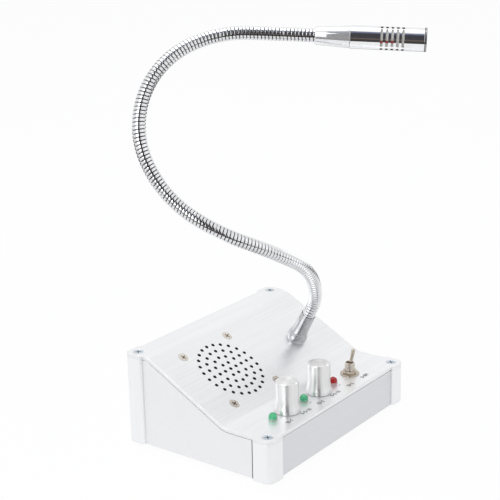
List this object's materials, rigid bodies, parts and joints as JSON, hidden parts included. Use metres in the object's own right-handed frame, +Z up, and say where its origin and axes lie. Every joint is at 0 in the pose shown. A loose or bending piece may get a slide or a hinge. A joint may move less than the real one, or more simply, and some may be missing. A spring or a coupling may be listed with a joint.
{
  "type": "counter intercom system",
  "caption": "Sloped aluminium desk case of a counter intercom with loudspeaker grille, volume knobs, lamps, toggle switch and a microphone on a ribbed gooseneck.",
  "frame": {"origin": "on the counter, in the plane of the feet's lower faces, under the middle of the case", "axes": "+X to the right of the person who uses it, +Y to the back of the case, +Z up; the gooseneck leaves the slope to the front left, rises on the left and comes back over the case"},
  "size_m": [0.1452, 0.1303, 0.2375],
  "materials": {
    "sheet": "brushed, clear anodised",
    "plate": "plain",
    "panel": "fine satin, clear anodised",
    "post": "smooth satin, clear anodised",
    "knob": "spun, bright",
    "screw": "zinc plated",
    "nickel": "nickel plated",
    "chrome": "polished",
    "foot": "matt black",
    "boot": "dark red",
    "basket": "grey",
    "magnet": "dark grey",
    "cone": "black paper",
    "cloth": "black acoustic cloth",
    "green_lamp": "translucent green",
    "red_lamp": "translucent red",
    "black_plastic": "black",
    "board": "green lacquer",
    "brass": "plain",
    "lead": "black insulation"
  },
  "bodies": {
    "case": {"top_cover": "sheet", "bottom_plate": "plate", "front_panel": "panel", "rear_panel": "panel", "left_panel": "panel", "right_panel": "panel", "front_left_post": "post", "front_right_post": "post", "rear_left_post": "post", "rear_right_post": "post", "cover_screws": "screw", "base_screws": "screw", "rubber_feet": "foot", "left_green_lamp": "green_lamp", "right_green_lamp": "green_lamp", "red_lamp": "red_lamp", "neck_ferrule": "chrome", "remote_socket": "black_plastic", "remote_socket_nut": "nickel", "power_socket": "black_plastic", "speaker_frame": "basket", "speaker_cone": "cone", "speaker_dust_cap": "cone", "speaker_magnet": "magnet", "speaker_screws": "screw", "speaker_nuts": "screw", "grille_cloth": "cloth", "volume_pots": "basket", "pot_washers": "screw", "pot_nuts": "screw", "switch_body": "black_plastic", "switch_washer": "nickel", "switch_nut": "nickel", "neck_nut": "screw", "main_board": "board", "board_standoffs": "brass", "board_screws": "screw", "amplifier_chip": "black_plastic", "capacitors": "black_plastic", "inner_leads": "lead"},
    "left_volume": {"left_shaft": "plate", "left_knob": "knob"},
    "right_volume": {"right_shaft": "plate", "right_knob": "knob"},
    "switch_toggle": {"switch_lever": "nickel"},
    "neck_1": {"neck_link_1": "chrome"},
    "neck_2": {"neck_link_2": "chrome"},
    "neck_3": {"neck_link_3": "chrome"},
    "neck_4": {"neck_link_4": "chrome"},
    "neck_5": {"neck_link_5": "chrome"},
    "neck_6": {"neck_link_6": "chrome"},
    "neck_7": {"neck_link_7": "chrome"},
    "neck_8": {"neck_link_8": "chrome"},
    "neck_9": {"neck_link_9": "chrome", "mic_tail": "chrome", "mic_barrel": "chrome", "mic_nose": "chrome", "mic_capsule": "plate", "capsule_boot": "boot"}
  },
  "joints": [
    {"name": "neck_bend_1", "type": "hinge", "parent": "case", "child": "neck_1", "pos_m": [0.0366, -0.00417, 0.0591], "axis": [1, 0, 0], "range_deg": [-20, 20]},
    {"name": "neck_sway_2", "type": "hinge", "parent": "neck_1", "child": "neck_2", "pos_m": [0.03392, -0.01133, 0.07471], "axis": [0.041, 0.9508, 0.3071], "range_deg": [-20, 20]},
    {"name": "neck_bend_3", "type": "hinge", "parent": "neck_2", "child": "neck_3", "pos_m": [0.00965, -0.01482, 0.10109], "axis": [0.4865, -0.2245, 0.8443], "range_deg": [-20, 20]},
    {"name": "neck_sway_4", "type": "hinge", "parent": "neck_3", "child": "neck_4", "pos_m": [-0.02288, -0.00069, 0.1204], "axis": [0.6108, 0.7853, -0.1011], "range_deg": [-20, 20]},
    {"name": "neck_bend_5", "type": "hinge", "parent": "neck_4", "child": "neck_5", "pos_m": [-0.03871, 0.02299, 0.13529], "axis": [0.4803, -0.3295, 0.8129], "range_deg": [-20, 20]},
    {"name": "neck_sway_6", "type": "hinge", "parent": "neck_5", "child": "neck_6", "pos_m": [-0.04636, 0.05019, 0.16633], "axis": [0.8028, 0.5712, -0.1708], "range_deg": [-20, 20]},
    {"name": "neck_bend_7", "type": "hinge", "parent": "neck_6", "child": "neck_7", "pos_m": [-0.03734, 0.05697, 0.20322], "axis": [0.4193, -0.8465, -0.328], "range_deg": [-20, 20]},
    {"name": "neck_sway_8", "type": "hinge", "parent": "neck_7", "child": "neck_8", "pos_m": [-0.0106, 0.04512, 0.22785], "axis": [0.6137, 0.5853, -0.5298], "range_deg": [-20, 20]},
    {"name": "neck_bend_9", "type": "hinge", "parent": "neck_8", "child": "neck_9", "pos_m": [0.0148, 0.02087, 0.23344], "axis": [-0.4424, -0.2702, -0.8552], "range_deg": [-20, 20]},
    {"name": "left_volume_turn", "type": "hinge", "parent": "case", "child": "left_volume", "pos_m": [-0.0306, -0.03485, 0.0272], "axis": [0, 0, 1], "range_deg": [-150, 150]},
    {"name": "right_volume_turn", "type": "hinge", "parent": "case", "child": "right_volume", "pos_m": [0.0019, -0.03485, 0.0272], "axis": [0, 0, 1], "range_deg": [-150, 150]},
    {"name": "toggle_tilt", "type": "hinge", "parent": "case", "child": "switch_toggle", "pos_m": [0.0356, -0.03485, 0.0314], "axis": [-1, 0, 0], "range_deg": [0, 25]}
  ]
}
